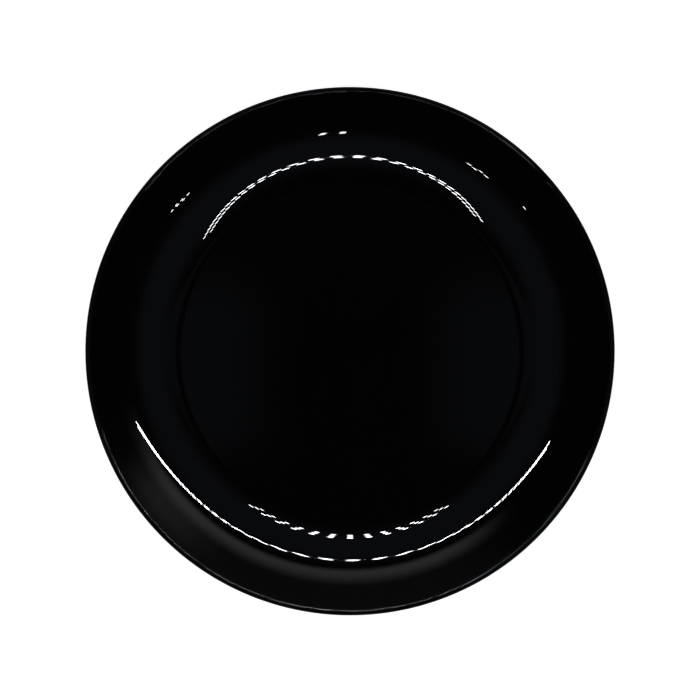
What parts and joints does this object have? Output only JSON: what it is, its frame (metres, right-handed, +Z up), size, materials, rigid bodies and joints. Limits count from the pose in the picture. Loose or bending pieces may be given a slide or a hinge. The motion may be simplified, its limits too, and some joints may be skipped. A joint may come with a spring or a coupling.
{
  "type": "serving tray",
  "caption": "Round black coupe serving tray: flat well, gently hollow sloping border, rounded lip, glazed upper face, and a foot ring with grip pads underneath.",
  "frame": {"origin": "centre of the tray in plan, on the surface that its pads stand on", "axes": "+Z up out of the well along the tray's axis; +X from the axis through foot_pad_1"},
  "size_m": [0.305, 0.305, 0.027],
  "materials": {
    "moulded_body": "compression moulded black melamine, satin underside, polished edge",
    "black_glaze": "black melamine glaze, mirror gloss",
    "grip_pad": "black silicone rubber, matt",
    "adhesive": "clear-grey acrylic adhesive disc"
  },
  "bodies": {
    "root": {"dish_body": "moulded_body", "glaze_layer": "black_glaze", "foot_pad_1": "grip_pad", "foot_pad_2": "grip_pad", "foot_pad_3": "grip_pad", "foot_pad_4": "grip_pad", "foot_pad_5": "grip_pad", "foot_pad_6": "grip_pad", "adhesive_discs": "adhesive"}
  },
  "joints": []
}
